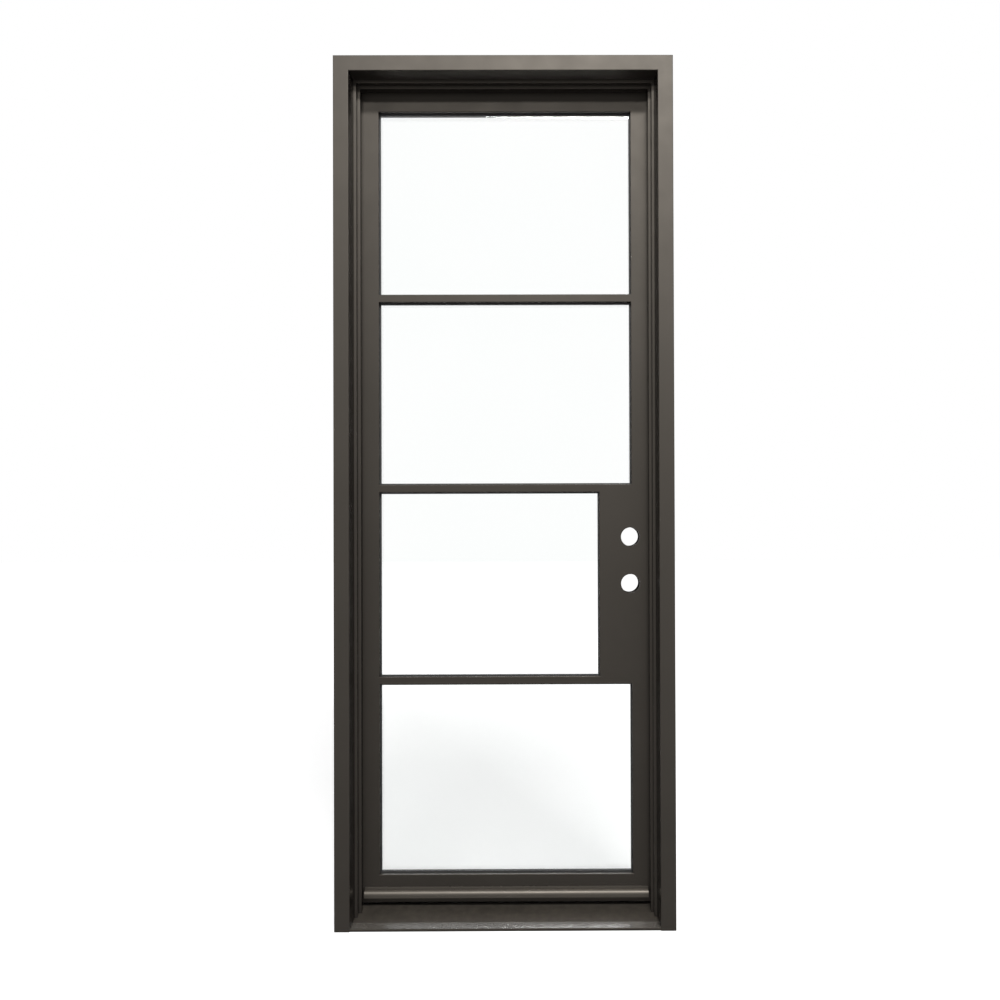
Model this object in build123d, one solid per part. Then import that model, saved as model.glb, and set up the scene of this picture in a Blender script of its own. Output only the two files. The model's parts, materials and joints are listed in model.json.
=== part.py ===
from build123d import *
import os

# Entrance door of folded steel with insulated glass, in its stepped frame.
# Millimetres. X runs to the right seen from outside, Y towards the inside of the house,
# Z up. The origin is on the floor, at the middle of the frame's width and depth.

# Folded sheet of the frame, the sill and the leaf: its folds are rounded outside, sharp inside
SHEET = 2.0
FOLD = 2.0

# Stepped frame section: widths from the outer edge inwards, depths from the front back
FACE_WIDTH = 43.0
REVEAL_DEPTH = 44.0
REVEAL_LEAN = 5.0
STEP_1_WIDTH = 7.5
STEP_2_DEPTH = 17.0
STEP_2_WIDTH = 8.0
STOP_DEPTH = 24.0
STOP_LIP = 13.0

# Layers of the leaf at the glass, from its front to its back
FLANGE_DEPTH = 14.0
OUTER_SEAL = 2.0
PANE = 5.0
SPACER = 10.0
INNER_SEAL = 2.0
BEAD_DEPTH = 11.0

# Leaf, seen from the front
LITE_WIDTH = 728.5
STILE_FACE = 56.5
TOP_RAIL = 61.5
BOTTOM_RAIL = 79.0
BAR_FACE = 22.0
BOTTOM_LITE = 546.5
LOWER_LITE = 532.0
UPPER_LITE = 528.0
TOP_LITE = 530.5
LOCK_PANEL_WIDTH = 150.0

# How far the front sheet of a rail runs over the stiles' rounded edges
FILL = 3.0

# Gaps round the leaf
HINGE_GAP = 3.5
LOCK_GAP = 4.0
HEAD_GAP = 4.0
SILL_GAP = 10.0
STRIP_GAP = 5.0

# Glazing rabbet: how deep it is, and how far glass, seals and spacers reach in and out of it
GLASS_RABBET = 9.0
GLASS_BITE = 6.0
OUTER_SIGHT = 4.0
INNER_SIGHT = 0.5
SPACER_SIGHT = 1.5
SPACER_INSET = 2.0
SEAL_PLAY = 0.2
BLOCK_LENGTH = 60.0
BEAD_EDGE = 3.0
BEAD_PLAY = 0.3

# Sill
SILL_HEIGHT = 32.0
SILL_NOSE = 8.0
SILL_SETBACK = 1.0
CREST_INSET = 2.0

# Weatherstrip and brush sweep
STRIP_BASE = 8.0
STRIP_EDGE = 1.0
STRIP_BORE = 1.3
STRIP_PLAY = 0.3
CARRIER_WIDTH = 20.0
CARRIER_HEIGHT = 5.0
CARRIER_INSET = 3.0
BRUSH_WIDTH = 5.0
BRUSH_PLAY = 0.1
GROOVE_DEPTH = 2.5

# Drip bar: thin flange on the leaf, rounded nose in front of it
DRIP_SHEET = 2.0
DRIP_FOOT = 17.5
DRIP_SKIRT = 7.5
DRIP_ROUND = 12.0
DRIP_ROOT = 1.0
DRIP_FLANGE = 8.0
DRIP_END_GAP = 4.0

# Lock holes, face plate recesses and strike openings
BACKSET = 60.3
LOCK_BORE = 27.0
LOCK_SPACING = 135.0
LOCK_LIFT = 1.0
EDGE_BORE = 12.7
EDGE_WALL = 5.0
PLATE_RECESS = 2.5
PLATE_LENGTH = 57.0
PLATE_WIDTH = 25.4
STRIKE_LENGTH = 45.0
STRIKE_WIDTH = 20.0

# Barrel hinges
HINGE_COUNT = 3
HINGE_END = 200.0
HINGE_HALF = 60.0
BARREL_RADIUS = 11.0
BARREL_CLEAR = 0.5
BARREL_END = 6.0
PIN_RADIUS = 6.0
PIN_PLAY = 0.08
PIN_SEAT_PLAY = 0.02
PIN_TIP_GAP = 4.0
THRUST_HEIGHT = 2.0
THRUST_PLAY = 0.05
THRUST_RING = 3.5
HINGE_PLATE_WIDTH = 38.0
HINGE_PLATE = 5.0
PLATE_INSET = 2.5

# Wall anchors through the jambs, and vent holes in the ends of the stiles
ANCHOR_COUNT = 4
ANCHOR_LOW = 250.0
ANCHOR_TOP = 270.0
ANCHOR_HOLE = 4.5
ACCESS_HOLE = 8.0
VENT_HOLE = 4.0
VENT_BACK = 14.0

# Places that follow from the sizes above
STOP_EDGE = FACE_WIDTH + REVEAL_LEAN + STEP_1_WIDTH + STEP_2_WIDTH
STOP_BACK = REVEAL_DEPTH + STEP_2_DEPTH + STOP_DEPTH
RABBET_WALL = STOP_EDGE - STOP_LIP
GLASS_UNIT = PANE + SPACER + PANE
LEAF_DEPTH = FLANGE_DEPTH + OUTER_SEAL + GLASS_UNIT + INNER_SEAL + BEAD_DEPTH
FRAME_DEPTH = STOP_BACK + STRIP_GAP + LEAF_DEPTH
LEAF_WIDTH = LITE_WIDTH + 2 * STILE_FACE
FRAME_WIDTH = LEAF_WIDTH + HINGE_GAP + LOCK_GAP + 2 * RABBET_WALL

FRAME_FRONT = -FRAME_DEPTH / 2
LEAF_FRONT = FRAME_FRONT + STOP_BACK + STRIP_GAP
LEAF_BACK = LEAF_FRONT + LEAF_DEPTH
LEAF_MIDDLE = (LEAF_FRONT + LEAF_BACK) / 2
FLANGE_BACK = LEAF_FRONT + FLANGE_DEPTH
GLASS_FRONT = FLANGE_BACK + OUTER_SEAL
GLASS_BACK = GLASS_FRONT + GLASS_UNIT
FRAME_LEFT = -FRAME_WIDTH / 2
LEAF_LEFT = FRAME_LEFT + RABBET_WALL + HINGE_GAP
LEAF_RIGHT = LEAF_LEFT + LEAF_WIDTH
LITE_LEFT = LEAF_LEFT + STILE_FACE
LITE_RIGHT = LEAF_RIGHT - STILE_FACE
PANEL_LEFT = LEAF_RIGHT - LOCK_PANEL_WIDTH
BAR_WEB = BAR_FACE - 2 * GLASS_RABBET

LEAF_FOOT = SILL_HEIGHT + SILL_GAP
BOTTOM_LITE_LOW = LEAF_FOOT + BOTTOM_RAIL
BOTTOM_LITE_TOP = BOTTOM_LITE_LOW + BOTTOM_LITE
LOWER_LITE_LOW = BOTTOM_LITE_TOP + BAR_FACE
LOWER_LITE_TOP = LOWER_LITE_LOW + LOWER_LITE
UPPER_LITE_LOW = LOWER_LITE_TOP + BAR_FACE
UPPER_LITE_TOP = UPPER_LITE_LOW + UPPER_LITE
TOP_LITE_LOW = UPPER_LITE_TOP + BAR_FACE
TOP_LITE_TOP = TOP_LITE_LOW + TOP_LITE
LEAF_TOP = TOP_LITE_TOP + TOP_RAIL
FRAME_HEIGHT = LEAF_TOP + HEAD_GAP + RABBET_WALL
PANEL_LOW = BOTTOM_LITE_TOP
PANEL_TOP = UPPER_LITE_LOW
LOCK_LOW = (PANEL_LOW + PANEL_TOP) / 2 + LOCK_LIFT
LOCK_HEIGHTS = (LOCK_LOW, LOCK_LOW + LOCK_SPACING)
LOCK_X = LEAF_RIGHT - BACKSET

# Lites: name, left, right, low and top edge of the clear opening
LITES = (
    ("bottom", LITE_LEFT, LITE_RIGHT, BOTTOM_LITE_LOW, BOTTOM_LITE_TOP),
    ("lower", LITE_LEFT, PANEL_LEFT, LOWER_LITE_LOW, LOWER_LITE_TOP),
    ("upper", LITE_LEFT, LITE_RIGHT, UPPER_LITE_LOW, UPPER_LITE_TOP),
    ("top", LITE_LEFT, LITE_RIGHT, TOP_LITE_LOW, TOP_LITE_TOP),
)

HINGE_X = LEAF_LEFT - HINGE_GAP / 2
HINGE_Y = LEAF_BACK + BARREL_CLEAR + BARREL_RADIUS
HINGE_PITCH = (LEAF_TOP - LEAF_FOOT - 2 * HINGE_END) / (HINGE_COUNT - 1)
HINGE_HEIGHTS = [LEAF_FOOT + HINGE_END + i * HINGE_PITCH for i in range(HINGE_COUNT)]
ANCHOR_PITCH = (FRAME_HEIGHT - ANCHOR_LOW - ANCHOR_TOP) / (ANCHOR_COUNT - 1)
ANCHOR_HEIGHTS = [ANCHOR_LOW + i * ANCHOR_PITCH for i in range(ANCHOR_COUNT)]

# A cutting tool reaches this far past the faces that it opens
PAST = 1.0


def signed_area(points):
    """Twice the signed area of a closed outline, positive when it runs anticlockwise."""
    total = 0.0
    for (ax, ay), (bx, by) in zip(points, points[1:] + points[:1]):
        total += ax * by - bx * ay
    return total


def fold_radii(points):
    """Fold radius at outward corners, none at inward ones, for an anticlockwise outline."""
    radii = []
    for i, (bx, by) in enumerate(points):
        ax, ay = points[i - 1]
        cx, cy = points[(i + 1) % len(points)]
        turn = (bx - ax) * (cy - by) - (by - ay) * (cx - bx)
        radii.append(FOLD if turn > 0 else 0)
    return radii


def folded_section(points):
    """Outline of a folded section as a full face, and the face of the space inside its sheet."""
    if signed_area(points) < 0:
        points = points[::-1]
    full = make_face(FilletPolyline(*points, radius=fold_radii(points), close=True))
    sharp = make_face(Polyline(*points, close=True))
    return full, offset(sharp, amount=-SHEET, kind=Kind.INTERSECTION)


def stand(face, low, top):
    """Raise a plan section, drawn in X and Y, between two heights."""
    return extrude(Pos(0, 0, low) * face, amount=top - low, dir=(0, 0, 1))


def lay(face, left, right):
    """Run a cross section, drawn in Y and Z, between two places along X."""
    return extrude(Pos(left, 0, 0) * (Plane.YZ * face), amount=right - left, dir=(1, 0, 0))


def block(left, right, front, back, low, top):
    """Box between six faces."""
    centre = Pos((left + right) / 2, (front + back) / 2, (low + top) / 2)
    return centre * Box(right - left, back - front, top - low)


def rod_x(radius, left, right, y, z):
    """Round bar along X."""
    return Pos((left + right) / 2, y, z) * Rot(0, 90, 0) * Cylinder(radius, right - left)


def rod_y(radius, front, back, x, z):
    """Round bar along Y."""
    return Pos(x, (front + back) / 2, z) * Rot(90, 0, 0) * Cylinder(radius, back - front)


def rod_z(radius, low, top, x, y):
    """Round bar along Z."""
    return Pos(x, y, (low + top) / 2) * Cylinder(radius, top - low)


def frame_outline():
    """Stepped section as distances from the outer edge and from the front."""
    step_1 = FACE_WIDTH + REVEAL_LEAN
    step_2 = step_1 + STEP_1_WIDTH
    step_2_front = REVEAL_DEPTH + STEP_2_DEPTH
    return [
        (0, 0),
        (FACE_WIDTH, 0),
        (step_1, REVEAL_DEPTH),
        (step_2, REVEAL_DEPTH),
        (step_2, step_2_front),
        (STOP_EDGE, step_2_front),
        (STOP_EDGE, STOP_BACK),
        (RABBET_WALL, STOP_BACK),
        (RABBET_WALL, FRAME_DEPTH),
        (0, FRAME_DEPTH),
    ]


def jamb_section():
    """Plan section of the left jamb: full face and inner face."""
    return folded_section([(FRAME_LEFT + u, FRAME_FRONT + d) for u, d in frame_outline()])


def mitre(side):
    """Plane of the mitred corner, facing up and away from the jamb."""
    return Plane(origin=(side * FRAME_WIDTH / 2, 0, FRAME_HEIGHT), z_dir=(-side, 0, 1))


def both_jambs():
    """Full outlines of both jambs, used to cope what ends against them."""
    full, inner = jamb_section()
    left = stand(full, -PAST, SILL_HEIGHT + PAST)
    return left + mirror(left, about=Plane.YZ)


def anchor_holes():
    """Anchor holes through the left jamb's outer wall and access holes in its rabbet."""
    holes = []
    rabbet = FRAME_LEFT + RABBET_WALL
    for height in ANCHOR_HEIGHTS:
        holes.append(rod_x(ANCHOR_HOLE, FRAME_LEFT - PAST, FRAME_LEFT + SHEET + PAST, LEAF_MIDDLE, height))
        holes.append(rod_x(ACCESS_HOLE, rabbet - SHEET - PAST, rabbet + PAST, LEAF_MIDDLE, height))
    return holes


def hinge_jamb():
    full, inner = jamb_section()
    post = split(stand(full - inner, 0, FRAME_HEIGHT), bisect_by=mitre(-1), keep=Keep.BOTTOM)
    return post - anchor_holes()


def upright_plate(left, right, y, z, width, length):
    """Plate across X, centred at Y and Z."""
    return block(left, right, y - width / 2, y + width / 2, z - length / 2, z + length / 2)


def strike_jamb():
    post = mirror(hinge_jamb(), about=Plane.YZ)
    rabbet = FRAME_WIDTH / 2 - RABBET_WALL
    for height in LOCK_HEIGHTS:
        post -= upright_plate(
            rabbet - PAST, rabbet + SHEET + PAST, LEAF_MIDDLE, height, STRIKE_WIDTH, STRIKE_LENGTH,
        )
    return post


def head():
    full, inner = folded_section([(FRAME_FRONT + d, FRAME_HEIGHT - u) for u, d in frame_outline()])
    beam = lay(full - inner, FRAME_LEFT, FRAME_LEFT + FRAME_WIDTH)
    beam = split(beam, bisect_by=mitre(-1), keep=Keep.TOP)
    return split(beam, bisect_by=mitre(1), keep=Keep.TOP)


def sill():
    front = FRAME_FRONT + SILL_SETBACK
    crest = LEAF_FRONT + CREST_INSET
    full, inner = folded_section([
        (front, 0),
        (LEAF_BACK, 0),
        (LEAF_BACK, SILL_HEIGHT),
        (crest, SILL_HEIGHT),
        (front, SILL_NOSE),
    ])
    left = FRAME_LEFT + FACE_WIDTH / 2
    return lay(full - inner, left, left + FRAME_WIDTH - FACE_WIDTH) - both_jambs()


def strip_face():
    """Hollow bulb strip, drawn with its base on the first axis."""
    half = STRIP_BASE / 2
    crest = STRIP_GAP - STRIP_PLAY
    base = Polyline((-half, STRIP_EDGE), (-half, 0), (half, 0), (half, STRIP_EDGE))
    bulb = ThreePointArc((half, STRIP_EDGE), (0, crest), (-half, STRIP_EDGE))
    return make_face([base, bulb]) - Pos(0, crest / 2) * Circle(STRIP_BORE)


def strip_line():
    """Distance of the weatherstrip's middle from the frame's outer edge."""
    return RABBET_WALL + STOP_LIP / 2


def side_strip(side):
    face = Pos(side * (FRAME_WIDTH / 2 - strip_line()), FRAME_FRONT + STOP_BACK) * strip_face()
    top = FRAME_HEIGHT - strip_line() - STRIP_BASE / 2
    return stand(face, SILL_HEIGHT + STRIP_PLAY, top - STRIP_PLAY)


def head_strip():
    turned = Rot(0, 0, -90) * strip_face()
    face = Pos(FRAME_FRONT + STOP_BACK, FRAME_HEIGHT - strip_line()) * turned
    reach = FRAME_WIDTH / 2 - strip_line() + STRIP_BASE / 2
    return lay(face, -reach, reach)


def leaf_outline(face_width):
    """Section of a leaf member: distance from the leaf's edge and from the leaf's front."""
    return [
        (0, 0),
        (face_width, 0),
        (face_width, FLANGE_DEPTH),
        (face_width - GLASS_RABBET, FLANGE_DEPTH),
        (face_width - GLASS_RABBET, LEAF_DEPTH),
        (0, LEAF_DEPTH),
    ]


def hinge_stile_section():
    return folded_section([(LEAF_LEFT + a, LEAF_FRONT + b) for a, b in leaf_outline(STILE_FACE)])


def lock_stile_section():
    return folded_section([(LEAF_RIGHT - a, LEAF_FRONT + b) for a, b in leaf_outline(STILE_FACE)])


def vent(x, low, top):
    """Vent hole through a stile's end plate."""
    return rod_z(VENT_HOLE, low, top, x, LEAF_BACK - VENT_BACK)


def hinge_stile():
    full, inner = hinge_stile_section()
    post = stand(full, LEAF_FOOT, LEAF_TOP) - stand(inner, LEAF_FOOT + SHEET, LEAF_TOP - SHEET)
    middle = LEAF_LEFT + (STILE_FACE - GLASS_RABBET) / 2
    post -= vent(middle, LEAF_FOOT - PAST, LEAF_FOOT + SHEET + PAST)
    post -= vent(middle, LEAF_TOP - SHEET - PAST, LEAF_TOP + PAST)
    post -= rail_fill(LITE_LEFT - FILL, LEAF_FOOT - PAST, BOTTOM_LITE_LOW)
    return post - rail_fill(LITE_LEFT - FILL, TOP_LITE_TOP, LEAF_TOP + PAST)


def lock_stile_upper():
    full, inner = lock_stile_section()
    post = stand(full, PANEL_TOP, LEAF_TOP) - stand(inner, PANEL_TOP - PAST, LEAF_TOP - SHEET)
    middle = LEAF_RIGHT - (STILE_FACE - GLASS_RABBET) / 2
    post -= vent(middle, LEAF_TOP - SHEET - PAST, LEAF_TOP + PAST)
    return post - rail_fill(LITE_RIGHT, TOP_LITE_TOP, LEAF_TOP + PAST)


def lock_stile_lower():
    full, inner = lock_stile_section()
    post = stand(full, LEAF_FOOT, PANEL_LOW) - stand(inner, LEAF_FOOT + SHEET, PANEL_LOW + PAST)
    middle = LEAF_RIGHT - (STILE_FACE - GLASS_RABBET) / 2
    post -= vent(middle, LEAF_FOOT - PAST, LEAF_FOOT + SHEET + PAST)
    return post - rail_fill(LITE_RIGHT, LEAF_FOOT - PAST, BOTTOM_LITE_LOW)


def stile_outlines():
    """Full outlines of both stiles over the leaf's height, used to cope the glazing bars."""
    hinge_side, inner = hinge_stile_section()
    lock_side, inner = lock_stile_section()
    return stand(hinge_side, LEAF_FOOT, LEAF_TOP) + stand(lock_side, LEAF_FOOT, LEAF_TOP)


def rail_cope():
    """Where the stiles stand beside a rail, whose front sheet runs over their rounded edges."""
    outline = [
        (STILE_FACE - FILL, LEAF_FRONT - PAST),
        (STILE_FACE - FILL, LEAF_FRONT + SHEET),
        (STILE_FACE, LEAF_FRONT + SHEET),
        (STILE_FACE, FLANGE_BACK),
        (STILE_FACE - GLASS_RABBET, FLANGE_BACK),
        (STILE_FACE - GLASS_RABBET, LEAF_BACK + PAST),
        (0, LEAF_BACK + PAST),
        (0, LEAF_FRONT - PAST),
    ]
    hinge_side = make_face(Polyline(*[(LEAF_LEFT + a, y) for a, y in outline], close=True))
    lock_side = make_face(Polyline(*[(LEAF_RIGHT - a, y) for a, y in outline], close=True))
    low = LEAF_FOOT - PAST
    top = LEAF_TOP + PAST
    return stand(hinge_side, low, top) + stand(lock_side, low, top)


def rail_fill(left, low, top):
    """Notch in a stile's rounded edge that the front sheet of a rail fills."""
    return block(left, left + FILL, LEAF_FRONT - PAST, LEAF_FRONT + SHEET, low, top)


def rail(outline):
    """Rail of a given outline, coped between the stiles."""
    full, inner = folded_section(outline)
    left = LITE_LEFT - GLASS_RABBET - PAST
    right = LITE_RIGHT + GLASS_RABBET + PAST
    return lay(full - inner, left, right) - rail_cope()


def top_rail():
    return rail([(LEAF_FRONT + b, LEAF_TOP - a) for a, b in leaf_outline(TOP_RAIL)])


def bottom_rail():
    return rail([(LEAF_FRONT + b, LEAF_FOOT + a) for a, b in leaf_outline(BOTTOM_RAIL)])


def panel_outline():
    """Full outline of the lock panel, with the glazing rabbets above and below it."""
    corners = [(LEAF_RIGHT - a, LEAF_FRONT + b) for a, b in leaf_outline(LOCK_PANEL_WIDTH)]
    full, inner = folded_section(corners)
    body = stand(full, PANEL_LOW, PANEL_TOP)
    left = PANEL_LEFT - PAST
    right = LITE_RIGHT + GLASS_RABBET
    for edge, inward in ((PANEL_LOW, 1), (PANEL_TOP, -1)):
        floor = edge + inward * GLASS_RABBET
        outside = edge - inward * PAST
        low, top = min(floor, outside), max(floor, outside)
        body -= block(left, right, FLANGE_BACK, LEAF_BACK + PAST, low, top)
        body -= edge_round(edge, inward)
    return body


def edge_round(edge, inward):
    """What a rounded front edge takes off along the glass above or below the lock panel."""
    centre_y = LEAF_FRONT + FOLD
    centre_z = edge + inward * FOLD
    low, top = min(edge, centre_z), max(edge, centre_z)
    corner = block(PANEL_LEFT - PAST, LITE_RIGHT, LEAF_FRONT, centre_y, low, top)
    return corner - rod_x(FOLD, PANEL_LEFT - 2 * PAST, LITE_RIGHT + PAST, centre_y, centre_z)


def lock_panel():
    """Hollow lock panel with lock holes, latch holes and face plate recesses."""
    rabbet_low = PANEL_LOW + GLASS_RABBET + SHEET
    rabbet_top = PANEL_TOP - GLASS_RABBET - SHEET
    inner_right = LEAF_RIGHT - EDGE_WALL
    front = LEAF_FRONT + SHEET
    body = panel_outline()
    body -= block(
        PANEL_LEFT + SHEET, inner_right, front, FLANGE_BACK - SHEET,
        PANEL_LOW + SHEET, PANEL_TOP - SHEET,
    )
    body -= block(
        PANEL_LEFT + GLASS_RABBET + SHEET, inner_right, front, LEAF_BACK - SHEET,
        rabbet_low, rabbet_top,
    )
    for height in LOCK_HEIGHTS:
        body -= rod_y(LOCK_BORE, LEAF_FRONT - PAST, LEAF_BACK + PAST, LOCK_X, height)
        body -= rod_x(EDGE_BORE, inner_right - PAST, LEAF_RIGHT + PAST, LEAF_MIDDLE, height)
        body -= upright_plate(
            LEAF_RIGHT - PLATE_RECESS, LEAF_RIGHT + PAST, LEAF_MIDDLE, height,
            PLATE_WIDTH, PLATE_LENGTH,
        )
    return body


def glazing_bar(low, right):
    """Slim bar: a folded box in front and a flat web behind it, from the hinge stile."""
    half = BAR_FACE / 2
    web = BAR_WEB / 2
    middle = low + half
    corners = [
        (LEAF_FRONT, middle - half),
        (FLANGE_BACK, middle - half),
        (FLANGE_BACK, middle - web),
        (LEAF_BACK, middle - web),
        (LEAF_BACK, middle + web),
        (FLANGE_BACK, middle + web),
        (FLANGE_BACK, middle + half),
        (LEAF_FRONT, middle + half),
    ]
    folds = [FOLD, FOLD, 0, 0, 0, 0, FOLD, FOLD]
    full = make_face(FilletPolyline(*corners, radius=folds, close=True))
    hollow = Rectangle(FLANGE_DEPTH - 2 * SHEET, BAR_FACE - 2 * SHEET)
    full -= Pos(LEAF_FRONT + FLANGE_DEPTH / 2, middle) * hollow
    return lay(full, LITE_LEFT - GLASS_RABBET, right + GLASS_RABBET)


def upper_bar():
    return glazing_bar(UPPER_LITE_TOP, LITE_RIGHT) - stile_outlines()


def middle_bar():
    return glazing_bar(LOWER_LITE_TOP, PANEL_LEFT) - stile_outlines() - panel_outline()


def lower_bar():
    return glazing_bar(BOTTOM_LITE_TOP, PANEL_LEFT) - stile_outlines() - panel_outline()


def ring(lite, outset, inset, front, depth):
    """Frame round a lite: outset past the opening's edge, inset inside it."""
    name, left, right, low, top = lite
    outer = block(left - outset, right + outset, front, front + depth, low - outset, top + outset)
    inner = block(
        left + inset, right - inset, front - PAST, front + depth + PAST, low + inset, top - inset,
    )
    return outer - inner


def pane(lite, front):
    name, left, right, low, top = lite
    return block(
        left - GLASS_BITE, right + GLASS_BITE, front, front + PANE, low - GLASS_BITE, top + GLASS_BITE,
    )


def spacer(lite):
    return ring(lite, GLASS_BITE - SPACER_INSET, SPACER_SIGHT, GLASS_FRONT + PANE, SPACER)


def outer_seal(lite):
    return ring(lite, GLASS_RABBET - SEAL_PLAY, OUTER_SIGHT, FLANGE_BACK, OUTER_SEAL)


def inner_seal(lite):
    return ring(lite, GLASS_RABBET - SEAL_PLAY, INNER_SIGHT, GLASS_BACK, INNER_SEAL)


def bead_face():
    """Sloped bead: depth from the seal back, height from the rabbet floor to the sight line."""
    corners = [
        (0, 0),
        (BEAD_DEPTH, 0),
        (BEAD_DEPTH, BEAD_EDGE),
        (0, GLASS_RABBET + INNER_SIGHT),
    ]
    return make_face(Polyline(*corners, close=True))


def beads(lite):
    """Four removable beads round one lite, the level ones running through."""
    name, left, right, low, top = lite
    front = LEAF_BACK - BEAD_DEPTH
    face = bead_face()
    flipped = mirror(face, about=Plane.XZ)
    reach = GLASS_RABBET - BEAD_PLAY
    level_low = lay(Pos(front, low - GLASS_RABBET) * face, left - reach, right + reach)
    level_top = lay(Pos(front, top + GLASS_RABBET) * flipped, left - reach, right + reach)
    post_low = low + INNER_SIGHT + BEAD_PLAY
    post_top = top - INNER_SIGHT - BEAD_PLAY
    turned = Rot(0, 0, 90) * mirror(face, about=Plane.XZ)
    post_left = stand(Pos(left - GLASS_RABBET, front) * turned, post_low, post_top)
    turned_back = Rot(0, 0, 90) * face
    post_right = stand(Pos(right + GLASS_RABBET, front) * turned_back, post_low, post_top)
    return [level_low, level_top, post_left, post_right]


def setting_blocks():
    """Two blocks under the glass of each lite, at the quarter points."""
    blocks = []
    for name, left, right, low, top in LITES:
        quarter = (right - left) / 4
        for x in (left + quarter, right - quarter):
            blocks.append(block(
                x - BLOCK_LENGTH / 2, x + BLOCK_LENGTH / 2, GLASS_FRONT, GLASS_BACK,
                low - GLASS_RABBET, low - GLASS_BITE,
            ))
    return blocks


def drip_bar():
    """Folded drip bar on the leaf's foot: flange, rounded nose and short skirt."""
    skirt_low = LEAF_FOOT + DRIP_FOOT
    arc_low = skirt_low + DRIP_SKIRT
    nose_top = arc_low + DRIP_ROUND
    flange_top = nose_top + DRIP_FLANGE
    root = DRIP_SHEET + DRIP_ROOT
    reach = root + DRIP_ROUND
    bend = DRIP_ROUND - DRIP_SHEET
    slant = 2 ** -0.5
    outer = ThreePointArc(
        (root, nose_top),
        (root + DRIP_ROUND * slant, arc_low + DRIP_ROUND * slant),
        (reach, arc_low),
    )
    inner = ThreePointArc(
        (reach - DRIP_SHEET, arc_low),
        (root + bend * slant, arc_low + bend * slant),
        (root, nose_top - DRIP_SHEET),
    )
    back = Polyline(
        (root, nose_top - DRIP_SHEET),
        (0, nose_top - DRIP_SHEET),
        (0, flange_top),
        (DRIP_SHEET, flange_top),
        (DRIP_SHEET, nose_top),
        (root, nose_top),
    )
    skirt = Polyline(
        (reach, arc_low),
        (reach, skirt_low),
        (reach - DRIP_SHEET, skirt_low),
        (reach - DRIP_SHEET, arc_low),
    )
    face = make_face([outer, skirt, inner, back])
    section = Pos(LEAF_FRONT, 0) * mirror(face, about=Plane.YZ)
    half = FRAME_WIDTH / 2 - STOP_EDGE - DRIP_END_GAP
    return lay(section, -half, half)


def sweep_carrier():
    low = LEAF_FOOT - CARRIER_HEIGHT
    left = LEAF_LEFT + CARRIER_INSET
    right = LEAF_RIGHT - CARRIER_INSET
    half = CARRIER_WIDTH / 2
    groove = BRUSH_WIDTH / 2 + BRUSH_PLAY
    body = block(left, right, LEAF_MIDDLE - half, LEAF_MIDDLE + half, low, LEAF_FOOT)
    return body - block(
        left - PAST, right + PAST, LEAF_MIDDLE - groove, LEAF_MIDDLE + groove,
        low - PAST, low + GROOVE_DEPTH,
    )


def sweep_brush():
    half = BRUSH_WIDTH / 2
    top = LEAF_FOOT - CARRIER_HEIGHT + GROOVE_DEPTH
    return block(
        LEAF_LEFT + CARRIER_INSET, LEAF_RIGHT - CARRIER_INSET,
        LEAF_MIDDLE - half, LEAF_MIDDLE + half, SILL_HEIGHT + STRIP_PLAY, top,
    )


def barrel(low, top, side):
    """Hinge half without its bore: barrel and plate, the plate towards the given side."""
    body = rod_z(BARREL_RADIUS, low, top, HINGE_X, HINGE_Y)
    far = HINGE_X + side * HINGE_PLATE_WIDTH
    return body + block(
        min(HINGE_X, far), max(HINGE_X, far), LEAF_BACK, LEAF_BACK + HINGE_PLATE,
        low + PLATE_INSET, top - PLATE_INSET,
    )


def hinge_levels(height):
    """Foot of the frame half, foot and top of the thrust ring, top of the leaf half."""
    ring_low = height - THRUST_HEIGHT / 2
    ring_top = height + THRUST_HEIGHT / 2
    return ring_low - HINGE_HALF, ring_low, ring_top, ring_top + THRUST_PLAY + HINGE_HALF


def hinge_frame_half(height):
    low, ring_low, ring_top, top = hinge_levels(height)
    bore = rod_z(PIN_RADIUS + PIN_SEAT_PLAY, low + BARREL_END, ring_low + PAST, HINGE_X, HINGE_Y)
    return barrel(low, ring_low, -1) - bore


def hinge_leaf_half(height):
    low, ring_low, ring_top, top = hinge_levels(height)
    foot = ring_top + THRUST_PLAY
    bore = rod_z(PIN_RADIUS + PIN_PLAY, foot - PAST, top - BARREL_END, HINGE_X, HINGE_Y)
    return barrel(foot, top, 1) - bore


def hinge_pin(height):
    low, ring_low, ring_top, top = hinge_levels(height)
    return rod_z(PIN_RADIUS, low + BARREL_END, top - BARREL_END - PIN_TIP_GAP, HINGE_X, HINGE_Y)


def thrust_ring(height):
    low, ring_low, ring_top, top = hinge_levels(height)
    hole = PIN_RADIUS + PIN_PLAY
    body = rod_z(hole + THRUST_RING, ring_low, ring_top, HINGE_X, HINGE_Y)
    return body - rod_z(hole, ring_low - PAST, ring_top + PAST, HINGE_X, HINGE_Y)


def frame_nodes():
    return {
        "jamb_hinge_side": hinge_jamb(),
        "jamb_strike_side": strike_jamb(),
        "head": head(),
        "sill": sill(),
        "weatherstrip_hinge_side": side_strip(-1),
        "weatherstrip_strike_side": side_strip(1),
        "weatherstrip_head": head_strip(),
    }


def leaf_nodes():
    return {
        "stile_hinge_side": hinge_stile(),
        "stile_lock_upper": lock_stile_upper(),
        "stile_lock_lower": lock_stile_lower(),
        "rail_top": top_rail(),
        "rail_bottom": bottom_rail(),
        "lock_panel": lock_panel(),
        "glazing_bar_upper": upper_bar(),
        "glazing_bar_middle": middle_bar(),
        "glazing_bar_lower": lower_bar(),
        "drip_bar": drip_bar(),
        "sweep_carrier": sweep_carrier(),
        "sweep_brush": sweep_brush(),
    }


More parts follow.
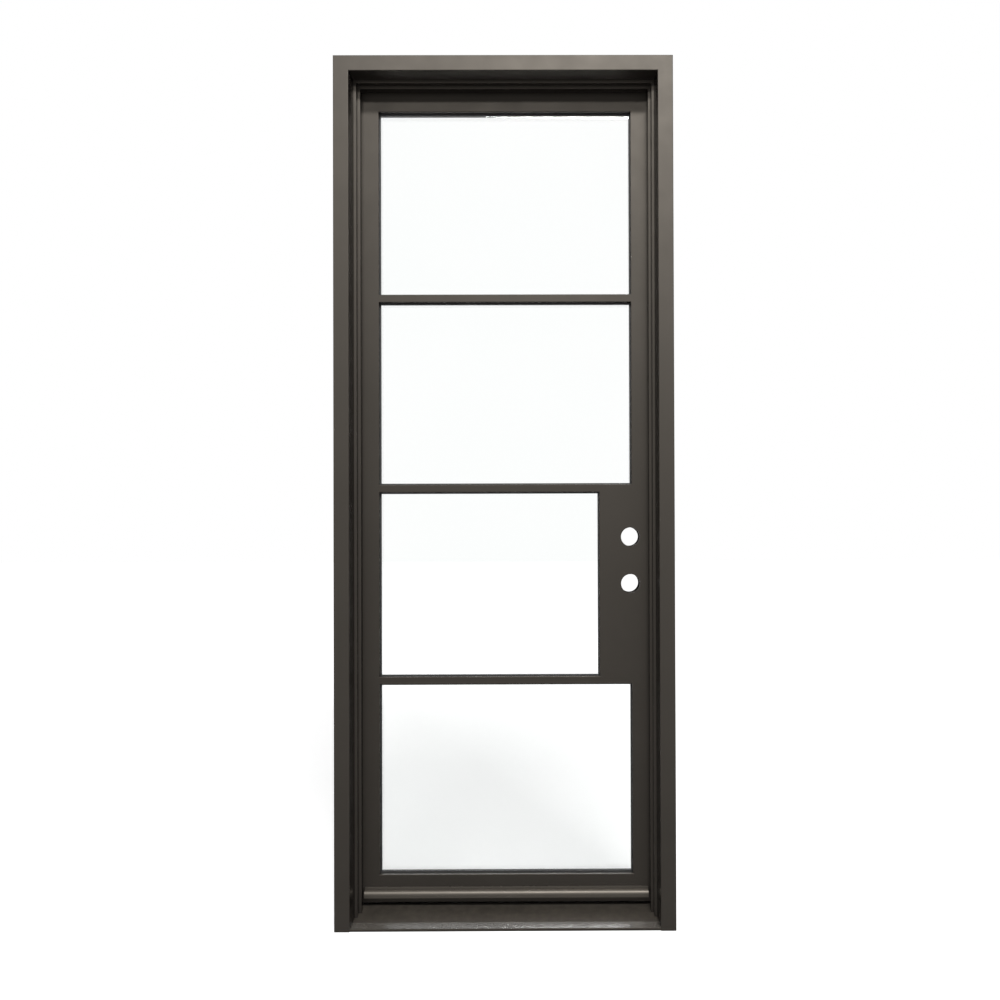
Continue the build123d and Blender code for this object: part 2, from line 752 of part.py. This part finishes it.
def glazing_nodes():
    nodes = {"setting_blocks": Compound(children=setting_blocks())}
    for lite in LITES:
        name = lite[0]
        nodes["glass_outer_" + name] = pane(lite, GLASS_FRONT)
        nodes["glass_inner_" + name] = pane(lite, GLASS_FRONT + PANE + SPACER)
        nodes["glass_spacer_" + name] = spacer(lite)
        nodes["seal_outer_" + name] = outer_seal(lite)
        nodes["seal_inner_" + name] = inner_seal(lite)
        nodes["beads_" + name] = Compound(children=beads(lite))
    return nodes


def hinge_nodes():
    """Like pieces of the hinges share one node, as separate solids."""
    return {
        "hinge_frame_halves": Compound(children=[hinge_frame_half(h) for h in HINGE_HEIGHTS]),
        "hinge_leaf_halves": Compound(children=[hinge_leaf_half(h) for h in HINGE_HEIGHTS]),
        "hinge_pins": Compound(children=[hinge_pin(h) for h in HINGE_HEIGHTS]),
        "hinge_thrust_rings": Compound(children=[thrust_ring(h) for h in HINGE_HEIGHTS]),
    }


def build():
    nodes = {}
    nodes.update(frame_nodes())
    nodes.update(leaf_nodes())
    nodes.update(glazing_nodes())
    nodes.update(hinge_nodes())
    os.makedirs("parts", exist_ok=True)
    for name, shape in nodes.items():
        export_step(shape, "parts/" + name + ".step")


build()
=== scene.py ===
import json
import math
import random

import bmesh
import bpy
from mathutils import Euler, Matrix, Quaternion, Vector

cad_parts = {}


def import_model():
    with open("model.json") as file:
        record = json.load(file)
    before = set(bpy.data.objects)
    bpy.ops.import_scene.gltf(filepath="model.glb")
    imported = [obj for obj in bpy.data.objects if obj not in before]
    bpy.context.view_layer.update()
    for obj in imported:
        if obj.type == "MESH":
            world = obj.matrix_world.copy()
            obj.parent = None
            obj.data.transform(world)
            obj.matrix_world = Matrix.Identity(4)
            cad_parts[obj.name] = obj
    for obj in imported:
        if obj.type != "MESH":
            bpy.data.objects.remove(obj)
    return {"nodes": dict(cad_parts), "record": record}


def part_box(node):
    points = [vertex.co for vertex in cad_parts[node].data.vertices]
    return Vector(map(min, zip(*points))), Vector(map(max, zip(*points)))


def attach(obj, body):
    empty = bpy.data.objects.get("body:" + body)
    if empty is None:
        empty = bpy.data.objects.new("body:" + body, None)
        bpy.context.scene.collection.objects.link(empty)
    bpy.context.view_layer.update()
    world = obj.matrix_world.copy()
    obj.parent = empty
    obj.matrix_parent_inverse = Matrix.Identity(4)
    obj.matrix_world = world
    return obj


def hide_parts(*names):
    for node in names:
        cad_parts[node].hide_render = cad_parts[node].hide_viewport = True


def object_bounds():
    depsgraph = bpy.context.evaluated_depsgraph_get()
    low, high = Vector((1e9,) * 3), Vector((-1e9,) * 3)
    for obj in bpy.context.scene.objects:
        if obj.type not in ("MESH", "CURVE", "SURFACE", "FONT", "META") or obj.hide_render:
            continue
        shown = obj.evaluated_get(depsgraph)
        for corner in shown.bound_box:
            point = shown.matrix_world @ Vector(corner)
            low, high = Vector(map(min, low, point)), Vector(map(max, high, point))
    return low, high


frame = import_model()
cad_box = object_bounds()
NODES = frame["nodes"]

SEED = 7

# Camera of the photograph, in metres and degrees, for a square picture of PHOTO pixels
PHOTO = 1000
FOCAL_PIXELS = 837.6
AXIS_PIXEL_X = 544.9
AXIS_PIXEL_Y = 513.3
SENSOR = 36.0
CAMERA_DISTANCE = 2.330
CAMERA_X = 0.105
CAMERA_HEIGHT = 1.144
PITCH = 0.38
YAW = 0.2
ROLL = -0.18
FARTHEST = 60.0

# Range that most of a noise's values lie in
NOISE_RANGE = (0.3, 0.7)

# Paint: its two tones, its range of roughness, its specular level, and the tint of its gloss
BRONZE = ((0.0045, 0.0038, 0.0034), (0.0075, 0.0063, 0.0056))
GLOSS = (0.53, 0.59)
HINGE_GLOSS = (0.38, 0.48)
DRIP_GLOSS = (0.46, 0.52)
SPECULAR_LEVEL = 0.47
LEAF_LEVEL = 0.43
DRIP_LEVEL = 0.95
SPECULAR_TINT = (1.0, 0.90, 0.77, 1.0)

# Scales of the paint's clouds, of its patches of gloss, of the dust and painted light on its up-facing
# faces, and of its orange peel
CLOUD_SCALE = 5.0
PATCH_SCALE = 14.0
DUST_AND_PAINTED_LIGHT_SCALE = 60.0
PEEL_SCALE = 700.0

# Roughness at glancing angles: the share that is left, and the range of angles where it falls
GLANCE_SHARE = 0.35
GLANCE_RANGE = (0.30, 0.75)

# Faces that look up, by the height of their normal, and the light dust on them, which is partly painted
# light: it lightens these faces as if lit from above
LEVEL_FACES = (0.85, 0.97)
DUST_AND_PAINTED_LIGHT = (0.036, 0.031, 0.025, 1.0)

# Clear polish: its index, its roughness, and the depths between which it ends, if it does
LEDGE_POLISH = (1.9, 0.14, None)
TREAD_POLISH = (2.3, 0.24, (-0.0465, -0.0415))

# Glass: its two tints and the scale of their clouds
GLASS_TINTS = ((0.985, 0.995, 0.991), (0.995, 0.999, 0.997))
GLASS_INDEX = 1.5
GLASS_SCALE = 1.5

# Rubber, fibre and bare metal: scales of their tones, of their roughness and of a metal's lines
RUBBER_SCALE = 40.0
DULL_SCALE = 90.0
LINE_SCALE = 60.0

# Levels of detail of a noise
FINE_DETAIL = 2.0
DETAIL = 3.0
BROAD_DETAIL = 4.0

# Bumps: strength, and depth in metres
PEEL_BUMP = (0.15, 0.0002)
GRAIN_BUMP = (0.3, 0.0002)
LINE_BUMP = (0.1, 0.0001)

# Stretch of a noise along the axes: none, lines drawn along X, and lines turned round Z
EVEN = (1.0, 1.0, 1.0)
DRAWN = (0.1, 5.0, 5.0)
TURNED = (1.0, 1.0, 12.0)

# Barrel hinges, as in the CAD
HINGE_COUNT = 3
HINGE_HALF = 0.060
PLATE_INSET = 0.0025
BARREL_RADIUS = 0.011
BARREL_CLEAR = 0.0005

# Weld beads: radius, how far they stand off the seam, their ripples, and the narrowest end
WELD = 0.0021
WELD_SINK = 0.0006
WELD_SIDES = 8
WELD_TIP = 0.04
RIPPLE = 0.0028
RIPPLE_LEAST = 3
RIPPLE_DEPTH = 0.14
RIPPLE_STEPS = 4

# Sill and jamb, as in the CAD, and the weld bead where they meet
SILL_NOSE = 0.008
CREST_Y = 0.0225
FACE_WIDTH = 0.043
REVEAL_DEPTH = 0.044
REVEAL_LEAN = 0.005
SEAM_WELD = 0.0013
SEAM_START = 0.004

# Glazing beads, as in the CAD
LITE_NAMES = ("bottom", "lower", "upper", "top")
BEAD_DEPTH = 0.011
BEAD_TALL = 0.0095
BEAD_SHORT = 0.003

# Screws of the glazing beads
SCREW_RADIUS = 0.0030
SCREW_DOME = 0.0009
SCREW_RINGS = 7
SCREW_SIDES = 24
SCREW_INSET = 0.060
SCREW_PITCH = 0.230
CROSS_ARM = 0.0017
CROSS_WIDTH = 0.00042
CROSS_DEPTH = 0.0008

# Bristles of the brush sweep
BRISTLE_PITCH = 0.0011
BRISTLE_ROWS = 5
BRISTLE_RADIUS = 0.00028
BRISTLE_SIDES = 4
BRISTLE_SPLAY = 0.0006

# Floor: half its side, how far it lies below the door, its tone and the tone of its clouds
FLOOR_HALF = 20.0
FLOOR_DROP = 0.0005
FLOOR_TONE = 0.55
FLOOR_SHADE = 0.98
FLOOR_SCALE = 2.0
FLOOR_ROUGH = 0.9

# How much the floor is lifted towards white, as seen and in gloss, and where the white begins
FLOOR_LIFT = 0.72
GLOSS_LIFT = 0.10
FADE_FROM = 1.5
FADE_TO = 5.0

# Light of the white surroundings on the door
WORLD_LIGHT = 0.10
WHITE = (1.0, 1.0, 1.0, 1.0)

# Two soft strips of light above and before the door: place, size, and radiance
LAMP_AIM = (0.0, 0.0, 1.3)
LAMPS = (
    ("lower_strip", (-0.16, -4.79, 4.80), (2.65, 0.30), 62.0),
    ("upper_strip", (0.92, -3.58, 5.45), (2.34, 0.30), 196.0),
)


def link(obj):
    bpy.context.scene.collection.objects.link(obj)
    return obj


def make_camera():
    data = bpy.data.cameras.new("photo_camera")
    data.sensor_width = SENSOR
    data.lens = SENSOR * FOCAL_PIXELS / PHOTO
    data.shift_x = (PHOTO / 2 - AXIS_PIXEL_X) / PHOTO
    data.shift_y = (AXIS_PIXEL_Y - PHOTO / 2) / PHOTO
    data.clip_end = FARTHEST
    camera = link(bpy.data.objects.new("photo_camera", data))
    front = cad_box[0].y
    camera.location = (CAMERA_X, front - CAMERA_DISTANCE, CAMERA_HEIGHT)
    turn = (math.radians(90 + PITCH), math.radians(-ROLL), math.radians(-YAW))
    camera.rotation_euler = Euler(turn, "XYZ")
    bpy.context.scene.camera = camera


# Node helpers: each material is a small tree of procedural nodes round one shader

def blank(name):
    material = bpy.data.materials.new(name)
    material.use_nodes = True
    tree = material.node_tree
    return material, tree, tree.nodes["Principled BSDF"]


def add(tree, kind, **settings):
    made = tree.nodes.new(kind)
    for key, value in settings.items():
        setattr(made, key, value)
    return made


def maths(tree, operation, first, second):
    made = add(tree, "ShaderNodeMath", operation=operation)
    tree.links.new(first, made.inputs[0])
    tree.links.new(second, made.inputs[1])
    return made.outputs[0]


def larger(tree, first, second):
    return maths(tree, "MAXIMUM", first, second)


def product(tree, first, second):
    return maths(tree, "MULTIPLY", first, second)


def object_place(tree):
    """Place in the object's own axes, which is the shared frame at rest."""
    return add(tree, "ShaderNodeTexCoord").outputs["Object"]


def part_of(tree, vector, axis):
    """One number of a vector."""
    axes = add(tree, "ShaderNodeSeparateXYZ")
    tree.links.new(vector, axes.inputs["Vector"])
    return axes.outputs[axis]


def noise(tree, scale, detail=DETAIL, stretch=EVEN):
    """Noise on object coordinates, stretched along the axes, as a value output."""
    mapping = add(tree, "ShaderNodeMapping")
    mapping.inputs["Scale"].default_value = stretch
    tree.links.new(object_place(tree), mapping.inputs["Vector"])
    made = add(tree, "ShaderNodeTexNoise")
    made.inputs["Scale"].default_value = scale
    made.inputs["Detail"].default_value = detail
    tree.links.new(mapping.outputs["Vector"], made.inputs["Vector"])
    return made.outputs["Fac"]


def spread(tree, value, low, high, at=NOISE_RANGE):
    """A value remapped to a range, as for roughness."""
    made = add(tree, "ShaderNodeMapRange")
    made.inputs["From Min"].default_value = at[0]
    made.inputs["From Max"].default_value = at[1]
    made.inputs["To Min"].default_value = low
    made.inputs["To Max"].default_value = high
    tree.links.new(value, made.inputs["Value"])
    return made.outputs["Result"]


def tones(tree, value, first, second):
    """A noise turned into a colour between two tones."""
    ramp = add(tree, "ShaderNodeValToRGB")
    for element, place, tone in zip(ramp.color_ramp.elements, NOISE_RANGE, (first, second)):
        element.position = place
        element.color = (*tone, 1.0)
    tree.links.new(value, ramp.inputs["Fac"])
    return ramp.outputs["Color"]


def bump(tree, shader, value, strength, depth):
    made = add(tree, "ShaderNodeBump")
    made.inputs["Strength"].default_value = strength
    made.inputs["Distance"].default_value = depth
    tree.links.new(value, made.inputs["Height"])
    tree.links.new(made.outputs["Normal"], shader.inputs["Normal"])


def sheen_at_glance(tree, rough):
    """Roughness that falls towards glancing angles, as on sprayed paint."""
    facing = add(tree, "ShaderNodeLayerWeight").outputs["Facing"]
    share = spread(tree, facing, 1.0, GLANCE_SHARE, at=GLANCE_RANGE)
    return product(tree, rough, share)


def looking_up(tree):
    """One on the faces that look up, nothing on upright ones."""
    normal = add(tree, "ShaderNodeNewGeometry").outputs["Normal"]
    return spread(tree, part_of(tree, normal, "Z"), 0.0, 1.0, at=LEVEL_FACES)


def before(tree, depths):
    """One in front of a pair of depths and nothing behind them."""
    return spread(tree, part_of(tree, object_place(tree), "Y"), 1.0, 0.0, at=depths)


def dust_and_painted_light(tree, colour, share):
    """Fine dust over a colour, by a share; it is partly painted light, as it lightens the faces it lies
    on.
    """
    mix = add(tree, "ShaderNodeMix", data_type="RGBA")
    tree.links.new(share, mix.inputs["Factor"])
    tree.links.new(colour, mix.inputs["A"])
    mix.inputs["B"].default_value = DUST_AND_PAINTED_LIGHT
    return mix.outputs["Result"]


# Looks

def paint(name, colours, rough, level, polish=None):
    """Semi-gloss paint: cloudy tone, uneven gloss and fine orange peel, with light dust where it looks
    up, partly painted light that lightens up-facing faces.

    A polish lies on the faces that look up, and only there.
    """
    material, tree, shader = blank(name)
    up = looking_up(tree)
    cloudy = tones(tree, noise(tree, CLOUD_SCALE), *colours)
    # Painted light and dust: a lighter colour on faces that look up, lightening their tops
    dust_and_light_share = product(tree, up, noise(tree, DUST_AND_PAINTED_LIGHT_SCALE))
    tree.links.new(dust_and_painted_light(tree, cloudy, dust_and_light_share), shader.inputs["Base Color"])
    if polish is not None:
        index, smooth, depths = polish
        share = up if depths is None else product(tree, up, before(tree, depths))
        tree.links.new(share, shader.inputs["Coat Weight"])
        shader.inputs["Coat IOR"].default_value = index
        shader.inputs["Coat Roughness"].default_value = smooth
    gloss = spread(tree, noise(tree, PATCH_SCALE, BROAD_DETAIL), *rough)
    tree.links.new(sheen_at_glance(tree, gloss), shader.inputs["Roughness"])
    shader.inputs["Specular IOR Level"].default_value = level
    shader.inputs["Specular Tint"].default_value = SPECULAR_TINT
    bump(tree, shader, noise(tree, PEEL_SCALE, FINE_DETAIL), *PEEL_BUMP)
    return material


def clear_glass(name):
    """Clear float glass with a faint, uneven green tint."""
    material, tree, shader = blank(name)
    tree.links.new(tones(tree, noise(tree, GLASS_SCALE), *GLASS_TINTS), shader.inputs["Base Color"])
    shader.inputs["Roughness"].default_value = 0.0
    shader.inputs["IOR"].default_value = GLASS_INDEX
    shader.inputs["Transmission Weight"].default_value = 1.0
    return material


def soft_black(name, colours, rough, grain):
    """Rubber or fibre: dull, slightly dusty and finely grained."""
    material, tree, shader = blank(name)
    tree.links.new(tones(tree, noise(tree, RUBBER_SCALE), *colours), shader.inputs["Base Color"])
    tree.links.new(spread(tree, noise(tree, DULL_SCALE), *rough), shader.inputs["Roughness"])
    bump(tree, shader, noise(tree, grain, FINE_DETAIL), *GRAIN_BUMP)
    return material


def bare_metal(name, colours, rough, stretch):
    """Bare metal with its machining or drawing lines along one axis."""
    material, tree, shader = blank(name)
    lines = noise(tree, LINE_SCALE, BROAD_DETAIL, stretch)
    tree.links.new(tones(tree, lines, *colours), shader.inputs["Base Color"])
    tree.links.new(spread(tree, lines, *rough), shader.inputs["Roughness"])
    shader.inputs["Metallic"].default_value = 1.0
    bump(tree, shader, lines, *LINE_BUMP)
    return material


def greys(dark, light):
    return (dark, dark, dark), (light, light, light)


# The maker of each look, and what it takes: tones, range of roughness, and what is its own
LOOKS = {
    "drip_paint": (paint, BRONZE, DRIP_GLOSS, DRIP_LEVEL),
    "sill_paint": (paint, BRONZE, GLOSS, SPECULAR_LEVEL, TREAD_POLISH),
    "frame_paint": (paint, BRONZE, GLOSS, SPECULAR_LEVEL),
    "leaf_paint": (paint, BRONZE, GLOSS, LEAF_LEVEL, LEDGE_POLISH),
    "hinge_paint": (paint, BRONZE, HINGE_GLOSS, SPECULAR_LEVEL),
    "clear_glass": (clear_glass,),
    "black_rubber": (soft_black, greys(0.012, 0.020), (0.60, 0.75), 900.0),
    "block_rubber": (soft_black, greys(0.050, 0.070), (0.60, 0.75), 600.0),
    "brush_fibre": (soft_black, greys(0.020, 0.045), (0.50, 0.70), 1200.0),
    "spacer_metal": (bare_metal, greys(0.05, 0.09), (0.30, 0.45), EVEN),
    "carrier_metal": (bare_metal, ((0.06, 0.055, 0.05), (0.09, 0.085, 0.08)), (0.30, 0.45), DRAWN),
    "pin_steel": (bare_metal, ((0.45, 0.45, 0.46), (0.62, 0.62, 0.63)), (0.18, 0.32), TURNED),
    "ring_brass": (bare_metal, ((0.60, 0.45, 0.18), (0.75, 0.58, 0.26)), (0.22, 0.35), TURNED),
}

# The photograph shows the drip bar glossier than the leaf, and the tread's front edge polished
OWN_LOOK = {"drip_bar": "drip_paint", "sill": "sill_paint"}


def make_materials():
    return {name: maker(name, *settings) for name, (maker, *settings) in LOOKS.items()}


def dress_nodes(materials):
    """Each CAD node takes its own look, or else the look of its slot in the record."""
    for part in frame["record"]["subparts"]:
        mesh = NODES[part["node"]].data
        mesh.materials.clear()
        mesh.materials.append(materials[OWN_LOOK.get(part["node"], part["material_slot"])])


# Pieces that the CAD leaves to the scene

def mesh_piece(name, bm, material, body, smooth=True):
    mesh = bpy.data.meshes.new(name)
    bmesh.ops.recalc_face_normals(bm, faces=bm.faces)
    bm.to_mesh(mesh)
    bm.free()
    piece = link(bpy.data.objects.new(name, mesh))
    mesh.materials.append(material)
    for polygon in mesh.polygons:
        polygon.use_smooth = smooth
    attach(piece, body)
    return piece


def ring_of(bm, centre, across, up, radius, sides):
    """Closed ring of points round a centre, in the plane of two unit vectors."""
    points = []
    for k in range(sides):
        angle = 2 * math.pi * k / sides
        points.append(bm.verts.new(centre + radius * (math.cos(angle) * across + math.sin(angle) * up)))
    return points


def skin(bm, rings):
    """Closed skin over a row of rings, with a flat cap at each end."""
    for first, second in zip(rings, rings[1:]):
        for k in range(len(first)):
            after = (k + 1) % len(first)
            bm.faces.new((first[k], first[after], second[after], second[k]))
    bm.faces.new(rings[0][::-1])
    bm.faces.new(rings[-1])


def weld_run(bm, start, end, up, radius=WELD):
    """Rippled weld bead along a straight seam, with rounded ends."""
    line = Vector(end) - Vector(start)
    length = line.length
    along = line.normalized()
    across = along.cross(Vector(up)).normalized()
    rise = across.cross(along).normalized()
    count = max(RIPPLE_LEAST, round(length / RIPPLE)) * RIPPLE_STEPS
    rings = []
    for i in range(count + 1):
        share = i / count
        ripple = 1 - RIPPLE_DEPTH * abs(math.cos(math.pi * i / RIPPLE_STEPS))
        edge = min(share, 1 - share) * length / radius
        taper = math.sqrt(max(WELD_TIP, 1 - max(0.0, 1 - edge) ** 2))
        centre = Vector(start) + line * share
        rings.append(ring_of(bm, centre, across, rise, radius * ripple * taper, WELD_SIDES))
    skin(bm, rings)


def hinge_welds(node, body, side, material):
    """Weld beads round the three free edges of each hinge plate of one body."""
    low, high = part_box(node)
    pitch = (high.z - HINGE_HALF - low.z) / (HINGE_COUNT - 1)
    seat = high.y - 2 * BARREL_RADIUS - BARREL_CLEAR + WELD_SINK
    far = low.x if side < 0 else high.x
    near = high.x - 2 * BARREL_RADIUS if side < 0 else low.x + 2 * BARREL_RADIUS
    bm = bmesh.new()
    for i in range(HINGE_COUNT):
        foot = low.z + i * pitch + PLATE_INSET
        top = low.z + i * pitch + HINGE_HALF - PLATE_INSET
        weld_run(bm, (near, seat, foot), (far, seat, foot), (0, 1, 0))
        weld_run(bm, (far, seat, foot), (far, seat, top), (0, 1, 0))
        weld_run(bm, (near, seat, top), (far, seat, top), (0, 1, 0))
    return mesh_piece(node + "_welds", bm, material, body)


def tread_height(y):
    """Height of the sill's sloped tread at a depth."""
    low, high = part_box("sill")
    share = (y - low.y) / (CREST_Y - low.y)
    return low.z + SILL_NOSE + share * (high.z - low.z - SILL_NOSE)


def sill_welds(material):
    """Weld beads where each jamb's reveal stands on the tread."""
    low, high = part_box("jamb_hinge_side")
    start_y = low.y + SEAM_START
    end_y = low.y + REVEAL_DEPTH
    foot = abs(low.x) - FACE_WIDTH
    root = foot - REVEAL_LEAN
    bm = bmesh.new()
    for side in (-1, 1):
        start = (side * foot, start_y, tread_height(start_y))
        end = (side * root, end_y, tread_height(end_y))
        weld_run(bm, start, end, (0, 0, 1), SEAM_WELD)
    return mesh_piece("sill_welds", bm, material, "frame")


def screw_head(bm, place, normal, spin):
    """Raised countersunk head with a cross recess, on a plane through a point."""
    place = Vector(place)
    normal = Vector(normal).normalized()
    first = normal.orthogonal().normalized()
    first.rotate(Quaternion(normal, spin))
    second = normal.cross(first)
    rows = []
    for i in range(1, SCREW_RINGS + 1):
        radius = SCREW_RADIUS * i / SCREW_RINGS
        row = []
        for k in range(SCREW_SIDES):
            angle = 2 * math.pi * k / SCREW_SIDES
            u, v = radius * math.cos(angle), radius * math.sin(angle)
            height = SCREW_DOME * (1 - (radius / SCREW_RADIUS) ** 2)
            if min(abs(u), abs(v)) < CROSS_WIDTH and max(abs(u), abs(v)) < CROSS_ARM:
                height -= CROSS_DEPTH
            row.append(bm.verts.new(place + u * first + v * second + height * normal))
        rows.append(row)
    centre = bm.verts.new(place + (SCREW_DOME - CROSS_DEPTH) * normal)
    for k in range(SCREW_SIDES):
        after = (k + 1) % SCREW_SIDES
        bm.faces.new((centre, rows[0][k], rows[0][after]))
        for inner, outer in zip(rows, rows[1:]):
            bm.faces.new((inner[k], outer[k], outer[after], inner[after]))


def stations(low, high):
    """Screw places along a bead: one near each end and the rest evenly between."""
    first, last = low + SCREW_INSET, high - SCREW_INSET
    gaps = max(1, round((last - first) / SCREW_PITCH))
    return [first + (last - first) * i / gaps for i in range(gaps + 1)]


def bead_screws(material, rng):
    """Screws through the sloped faces of the glazing beads, one mesh for each lite."""
    height = (BEAD_TALL + BEAD_SHORT) / 2
    slope = BEAD_TALL - BEAD_SHORT
    for name in LITE_NAMES:
        low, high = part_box("beads_" + name)
        y = low.y + BEAD_DEPTH / 2
        bm = bmesh.new()
        for x in stations(low.x, high.x):
            for z, lean in ((low.z + height, BEAD_DEPTH), (high.z - height, -BEAD_DEPTH)):
                screw_head(bm, (x, y, z), (0, slope, lean), rng.uniform(0, math.pi))
        for z in stations(low.z, high.z):
            for x, lean in ((low.x + height, BEAD_DEPTH), (high.x - height, -BEAD_DEPTH)):
                screw_head(bm, (x, y, z), (lean, slope, 0), rng.uniform(0, math.pi))
        mesh_piece("bead_screws_" + name, bm, material, "leaf")


def brush_bristles(material, rng):
    """Bristles of the sweep, in rows, in the place of the plain CAD strip."""
    low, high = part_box("sweep_brush")
    across, up = Vector((1, 0, 0)), Vector((0, 1, 0))
    margin = BRISTLE_RADIUS + BRISTLE_SPLAY
    width = high.x - low.x - 2 * margin
    columns = int(width / BRISTLE_PITCH)
    depth = (high.y - low.y - 2 * margin) / (BRISTLE_ROWS - 1)
    bm = bmesh.new()
    for i in range(columns + 1):
        for j in range(BRISTLE_ROWS):
            x = low.x + margin + width * i / columns
            y = low.y + margin + depth * j
            lean = Vector((rng.uniform(-1, 1), rng.uniform(-1, 1), 0)) * BRISTLE_SPLAY
            ends = (Vector((x, y, high.z)), Vector((x, y, low.z)) + lean)
            skin(bm, [ring_of(bm, end, across, up, BRISTLE_RADIUS, BRISTLE_SIDES) for end in ends])
    brush = mesh_piece("sweep_bristles", bm, material, "leaf", smooth=False)
    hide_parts("sweep_brush")


# Stage

def rays(tree):
    """One for rays from the camera or through glass, and one for rays off a gloss surface."""
    path = add(tree, "ShaderNodeLightPath")
    direct = larger(tree, path.outputs["Is Camera Ray"], path.outputs["Is Transmission Ray"])
    return direct, path.outputs["Is Glossy Ray"]


def fade_to_white(tree, near):
    """Strength that rises from a value near the door to white further away."""
    distance = add(tree, "ShaderNodeVectorMath", operation="LENGTH")
    tree.links.new(object_place(tree), distance.inputs[0])
    return spread(tree, distance.outputs["Value"], near, 1.0, at=(FADE_FROM, FADE_TO))


def floor_material():
    """Plain pale floor, lifted towards white where it is seen, so that it keeps the shadow."""
    material, tree, shader = blank("floor")
    clouds = greys(FLOOR_SHADE * FLOOR_TONE, FLOOR_TONE)
    tree.links.new(tones(tree, noise(tree, FLOOR_SCALE), *clouds), shader.inputs["Base Color"])
    shader.inputs["Roughness"].default_value = FLOOR_ROUGH
    shader.inputs["Specular IOR Level"].default_value = 0.0
    glow = add(tree, "ShaderNodeEmission")
    direct, glossy = rays(tree)
    seen = product(tree, direct, fade_to_white(tree, FLOOR_LIFT))
    mirrored = product(tree, glossy, fade_to_white(tree, GLOSS_LIFT))
    tree.links.new(larger(tree, seen, mirrored), glow.inputs["Strength"])
    both = add(tree, "ShaderNodeAddShader")
    tree.links.new(shader.outputs[0], both.inputs[0])
    tree.links.new(glow.outputs[0], both.inputs[1])
    tree.links.new(both.outputs[0], tree.nodes["Material Output"].inputs["Surface"])
    return material


def make_floor():
    bm = bmesh.new()
    bmesh.ops.create_grid(bm, x_segments=1, y_segments=1, size=FLOOR_HALF)
    mesh = bpy.data.meshes.new("floor")
    bm.to_mesh(mesh)
    bm.free()
    floor = link(bpy.data.objects.new("floor", mesh))
    floor.location.z = -FLOOR_DROP
    mesh.materials.append(floor_material())


def make_world():
    """White surroundings for the camera, glass and gloss, with little light of their own."""
    world = bpy.data.worlds.new("studio")
    world.use_nodes = True
    tree = world.node_tree
    back = tree.nodes["Background"]
    back.inputs["Color"].default_value = WHITE
    strength = add(tree, "ShaderNodeMapRange")
    strength.inputs["To Min"].default_value = WORLD_LIGHT
    strength.inputs["To Max"].default_value = 1.0
    tree.links.new(larger(tree, *rays(tree)), strength.inputs["Value"])
    tree.links.new(strength.outputs["Result"], back.inputs["Strength"])
    bpy.context.scene.world = world


def soft_panel(name, place, aim, size, radiance):
    """Soft light panel of a given radiance, aimed at a point."""
    data = bpy.data.lights.new(name, "AREA")
    data.shape = "RECTANGLE"
    data.size, data.size_y = size
    data.energy = radiance * math.pi * size[0] * size[1]
    panel = link(bpy.data.objects.new(name, data))
    panel.location = place
    toward = Vector(aim) - Vector(place)
    panel.rotation_euler = toward.to_track_quat("-Z", "Y").to_euler()


def make_lights():
    for name, place, size, radiance in LAMPS:
        soft_panel(name, place, LAMP_AIM, size, radiance)


def main():
    bpy.context.scene.view_settings.view_transform = "Standard"
    make_camera()
    materials = make_materials()
    dress_nodes(materials)
    rng = random.Random(SEED)
    hinge_welds("hinge_frame_halves", "frame", -1, materials["hinge_paint"])
    hinge_welds("hinge_leaf_halves", "leaf", 1, materials["hinge_paint"])
    sill_welds(materials["frame_paint"])
    bead_screws(materials["leaf_paint"], rng)
    brush_bristles(materials["brush_fibre"], rng)
    make_floor()
    make_world()
    make_lights()


main()
